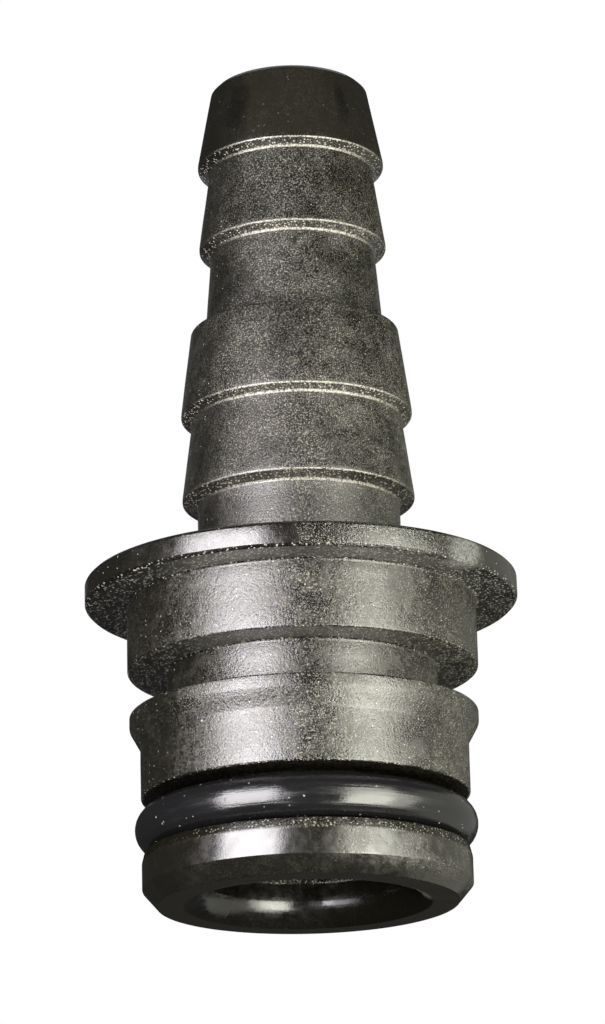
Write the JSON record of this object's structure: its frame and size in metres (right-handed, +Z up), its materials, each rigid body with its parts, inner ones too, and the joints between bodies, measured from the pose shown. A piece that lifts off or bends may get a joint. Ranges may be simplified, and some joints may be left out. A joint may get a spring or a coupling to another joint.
{
  "type": "hose barb tail",
  "caption": "Push-in hose tail in black moulded plastic, with a ring-sealed spigot, a clip groove, a flange and a stepped barbed end that takes a smaller or a larger hose.",
  "frame": {"origin": "centre of the spigot's flat end face, on which the part stands", "axes": "+Z up the axis of the waterway, from the spigot towards the hose end; the part is round, so X and Y only fix its turn about Z"},
  "size_m": [0.0256, 0.0256, 0.0508],
  "materials": {
    "moulded_plastic": "black glass-filled plastic, semi-matt with a fine speckle",
    "seal_rubber": "smooth satin black rubber"
  },
  "bodies": {
    "root": {"barb_body": "moulded_plastic", "o_ring": "seal_rubber"}
  },
  "joints": []
}
